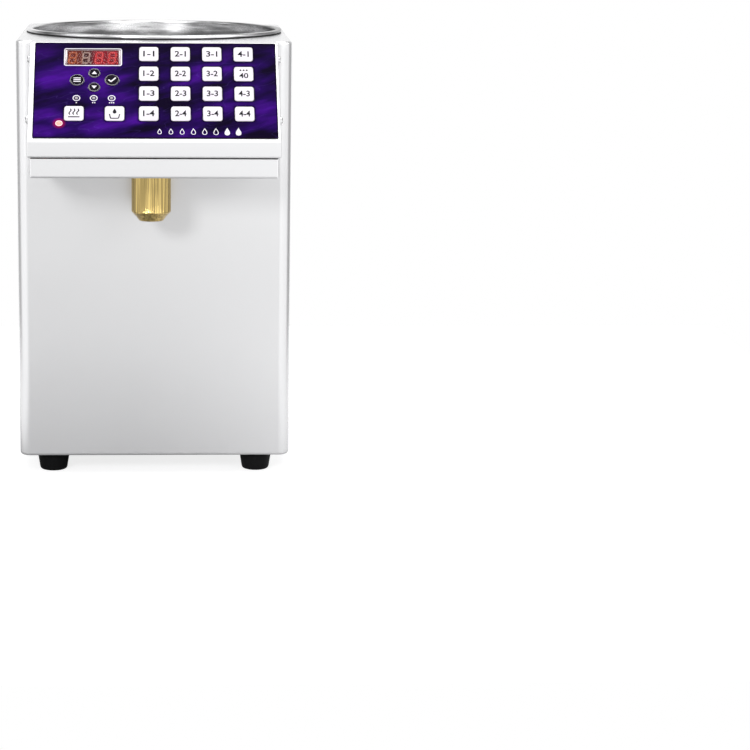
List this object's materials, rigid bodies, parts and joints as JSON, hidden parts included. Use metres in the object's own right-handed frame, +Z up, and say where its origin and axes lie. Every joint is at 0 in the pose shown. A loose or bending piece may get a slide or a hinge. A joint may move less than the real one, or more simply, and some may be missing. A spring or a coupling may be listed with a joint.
{
  "type": "countertop syrup dispenser",
  "caption": "Square countertop syrup dispenser with an open round tank in its top, a sloping keypad head and a knurled brass nozzle over the cup space",
  "frame": {"origin": "on the floor, at the middle of the bounding box", "axes": "+X to the machine's right as seen from the front, -Y towards the front, +Z up"},
  "size_m": [0.27, 0.3888, 0.4384],
  "materials": {
    "painted_panel": "satin light stainless sheet",
    "galvanised": "plain zinc-coated sheet",
    "rubber": "moulded black rubber",
    "chrome_screw": "bright pan-head screws",
    "overlay": "printed deep violet polyester film",
    "smoked_window": "red tinted pane",
    "display_black": "black digit module",
    "board_green": "green circuit board",
    "brass_post": "turned posts",
    "switch_black": "black push switches",
    "lamp_red": "clear red lamp lenses",
    "polished_steel": "mirror polished stainless",
    "gasket_black": "black sheet rubber",
    "heater": "moulded silicone heating band",
    "steel_fitting": "turned stainless",
    "bakelite": "dark moulded thermostat",
    "pump_steel": "machined stainless",
    "gear_steel": "cut steel gears",
    "motor_black": "black enamelled motor can",
    "supply_case": "plain aluminium case",
    "hose": "milky silicone hose",
    "brass_turned": "turned brass",
    "valve_rubber": "soft silicone drip valve",
    "brass_knurled": "bright brass with fine straight knurl",
    "switch_black_case": "black moulded switch",
    "rocker_black": "black moulded rocker",
    "inlet_black": "black moulded appliance inlet",
    "pin_nickel": "nickel plated pins",
    "key_pale": "pale domed keys"
  },
  "bodies": {
    "machine": {"cabinet_shell": "painted_panel", "base_plate": "galvanised", "service_cover": "painted_panel", "rubber_feet": "rubber", "panel_screws": "chrome_screw", "base_screws": "chrome_screw", "head_cover": "painted_panel", "head_box": "painted_panel", "panel_overlay": "overlay", "display_window": "smoked_window", "display_module": "display_black", "control_board": "board_green", "board_posts": "brass_post", "tact_switches": "switch_black", "indicator_lamps": "lamp_red", "tank": "polished_steel", "tank_gasket": "gasket_black", "heater_band": "heater", "tank_outlet": "steel_fitting", "tank_outlet_nut": "steel_fitting", "thermostat": "bakelite", "pump_housing": "pump_steel", "pump_cover_plate": "pump_steel", "pump_bracket": "galvanised", "pump_motor": "motor_black", "power_supply": "supply_case", "suction_hose": "hose", "delivery_hose": "hose", "nozzle_fitting": "brass_turned", "nozzle_locknut": "brass_turned", "switch_housing": "switch_black_case", "power_inlet": "inlet_black", "inlet_pins": "pin_nickel"},
    "key_1_1_cap": {"key_1_1": "key_pale"},
    "key_1_2_cap": {"key_1_2": "key_pale"},
    "key_1_3_cap": {"key_1_3": "key_pale"},
    "key_1_4_cap": {"key_1_4": "key_pale"},
    "key_2_1_cap": {"key_2_1": "key_pale"},
    "key_2_2_cap": {"key_2_2": "key_pale"},
    "key_2_3_cap": {"key_2_3": "key_pale"},
    "key_2_4_cap": {"key_2_4": "key_pale"},
    "key_3_1_cap": {"key_3_1": "key_pale"},
    "key_3_2_cap": {"key_3_2": "key_pale"},
    "key_3_3_cap": {"key_3_3": "key_pale"},
    "key_3_4_cap": {"key_3_4": "key_pale"},
    "key_4_1_cap": {"key_4_1": "key_pale"},
    "key_4_2_cap": {"key_4_2": "key_pale"},
    "key_4_3_cap": {"key_4_3": "key_pale"},
    "key_4_4_cap": {"key_4_4": "key_pale"},
    "key_heat_cap": {"key_heat": "key_pale"},
    "key_dispense_cap": {"key_dispense": "key_pale"},
    "key_up_cap": {"key_up": "key_pale"},
    "key_down_cap": {"key_down": "key_pale"},
    "key_set_cap": {"key_set": "key_pale"},
    "key_confirm_cap": {"key_confirm": "key_pale"},
    "power_rocker": {"switch_rocker": "rocker_black"},
    "valve_insert": {"drip_valve": "valve_rubber"},
    "nozzle_collar": {"nozzle_cap": "brass_knurled"},
    "drive_wheel": {"drive_gear": "gear_steel"},
    "idler_wheel": {"idler_gear": "gear_steel"}
  },
  "joints": [
    {"name": "key_1_1_press", "type": "slide", "parent": "machine", "child": "key_1_1_cap", "axis": [0, 0.7071, -0.7071], "range_m": [0, 0.0005], "stiffness_N_per_m": 1500, "springref_m": -0.0002},
    {"name": "key_1_2_press", "type": "slide", "parent": "machine", "child": "key_1_2_cap", "axis": [0, 0.7071, -0.7071], "range_m": [0, 0.0005], "stiffness_N_per_m": 1500, "springref_m": -0.0002},
    {"name": "key_1_3_press", "type": "slide", "parent": "machine", "child": "key_1_3_cap", "axis": [0, 0.7071, -0.7071], "range_m": [0, 0.0005], "stiffness_N_per_m": 1500, "springref_m": -0.0002},
    {"name": "key_1_4_press", "type": "slide", "parent": "machine", "child": "key_1_4_cap", "axis": [0, 0.7071, -0.7071], "range_m": [0, 0.0005], "stiffness_N_per_m": 1500, "springref_m": -0.0002},
    {"name": "key_2_1_press", "type": "slide", "parent": "machine", "child": "key_2_1_cap", "axis": [0, 0.7071, -0.7071], "range_m": [0, 0.0005], "stiffness_N_per_m": 1500, "springref_m": -0.0002},
    {"name": "key_2_2_press", "type": "slide", "parent": "machine", "child": "key_2_2_cap", "axis": [0, 0.7071, -0.7071], "range_m": [0, 0.0005], "stiffness_N_per_m": 1500, "springref_m": -0.0002},
    {"name": "key_2_3_press", "type": "slide", "parent": "machine", "child": "key_2_3_cap", "axis": [0, 0.7071, -0.7071], "range_m": [0, 0.0005], "stiffness_N_per_m": 1500, "springref_m": -0.0002},
    {"name": "key_2_4_press", "type": "slide", "parent": "machine", "child": "key_2_4_cap", "axis": [0, 0.7071, -0.7071], "range_m": [0, 0.0005], "stiffness_N_per_m": 1500, "springref_m": -0.0002},
    {"name": "key_3_1_press", "type": "slide", "parent": "machine", "child": "key_3_1_cap", "axis": [0, 0.7071, -0.7071], "range_m": [0, 0.0005], "stiffness_N_per_m": 1500, "springref_m": -0.0002},
    {"name": "key_3_2_press", "type": "slide", "parent": "machine", "child": "key_3_2_cap", "axis": [0, 0.7071, -0.7071], "range_m": [0, 0.0005], "stiffness_N_per_m": 1500, "springref_m": -0.0002},
    {"name": "key_3_3_press", "type": "slide", "parent": "machine", "child": "key_3_3_cap", "axis": [0, 0.7071, -0.7071], "range_m": [0, 0.0005], "stiffness_N_per_m": 1500, "springref_m": -0.0002},
    {"name": "key_3_4_press", "type": "slide", "parent": "machine", "child": "key_3_4_cap", "axis": [0, 0.7071, -0.7071], "range_m": [0, 0.0005], "stiffness_N_per_m": 1500, "springref_m": -0.0002},
    {"name": "key_4_1_press", "type": "slide", "parent": "machine", "child": "key_4_1_cap", "axis": [0, 0.7071, -0.7071], "range_m": [0, 0.0005], "stiffness_N_per_m": 1500, "springref_m": -0.0002},
    {"name": "key_4_2_press", "type": "slide", "parent": "machine", "child": "key_4_2_cap", "axis": [0, 0.7071, -0.7071], "range_m": [0, 0.0005], "stiffness_N_per_m": 1500, "springref_m": -0.0002},
    {"name": "key_4_3_press", "type": "slide", "parent": "machine", "child": "key_4_3_cap", "axis": [0, 0.7071, -0.7071], "range_m": [0, 0.0005], "stiffness_N_per_m": 1500, "springref_m": -0.0002},
    {"name": "key_4_4_press", "type": "slide", "parent": "machine", "child": "key_4_4_cap", "axis": [0, 0.7071, -0.7071], "range_m": [0, 0.0005], "stiffness_N_per_m": 1500, "springref_m": -0.0002},
    {"name": "key_heat_press", "type": "slide", "parent": "machine", "child": "key_heat_cap", "axis": [0, 0.7071, -0.7071], "range_m": [0, 0.0005], "stiffness_N_per_m": 1500, "springref_m": -0.0002},
    {"name": "key_dispense_press", "type": "slide", "parent": "machine", "child": "key_dispense_cap", "axis": [0, 0.7071, -0.7071], "range_m": [0, 0.0005], "stiffness_N_per_m": 1500, "springref_m": -0.0002},
    {"name": "key_up_press", "type": "slide", "parent": "machine", "child": "key_up_cap", "axis": [0, 0.7071, -0.7071], "range_m": [0, 0.0005], "stiffness_N_per_m": 1500, "springref_m": -0.0002},
    {"name": "key_down_press", "type": "slide", "parent": "machine", "child": "key_down_cap", "axis": [0, 0.7071, -0.7071], "range_m": [0, 0.0005], "stiffness_N_per_m": 1500, "springref_m": -0.0002},
    {"name": "key_set_press", "type": "slide", "parent": "machine", "child": "key_set_cap", "axis": [0, 0.7071, -0.7071], "range_m": [0, 0.0005], "stiffness_N_per_m": 1500, "springref_m": -0.0002},
    {"name": "key_confirm_press", "type": "slide", "parent": "machine", "child": "key_confirm_cap", "axis": [0, 0.7071, -0.7071], "range_m": [0, 0.0005], "stiffness_N_per_m": 1500, "springref_m": -0.0002},
    {"name": "power_rocker_tilt", "type": "hinge", "parent": "machine", "child": "power_rocker", "pos_m": [0.07, 0.1841, 0.2307], "axis": [-1, 0, 0], "range_deg": [0, 24]},
    {"name": "nozzle_drop", "type": "slide", "parent": "machine", "child": "valve_insert", "axis": [0, 0, -1], "range_m": [0, 0.016]},
    {"name": "nozzle_turn", "type": "hinge", "parent": "valve_insert", "child": "nozzle_collar", "pos_m": [-0.003, -0.1359, 0.3], "axis": [0, 0, -1], "range_deg": [0, 2880]},
    {"name": "pump_drive", "type": "hinge", "parent": "machine", "child": "drive_wheel", "pos_m": [0, 0.0541, 0.084], "axis": [0, 1, 0], "continuous": true},
    {"name": "pump_idler", "type": "hinge", "parent": "machine", "child": "idler_wheel", "pos_m": [0, 0.0541, 0.108], "axis": [0, 1, 0], "continuous": true}
  ],
  "couplings": [
    {"joint": "nozzle_drop", "follows": "nozzle_turn", "m_per_rad": 0.00031831},
    {"joint": "pump_idler", "follows": "pump_drive", "ratio": -1}
  ]
}
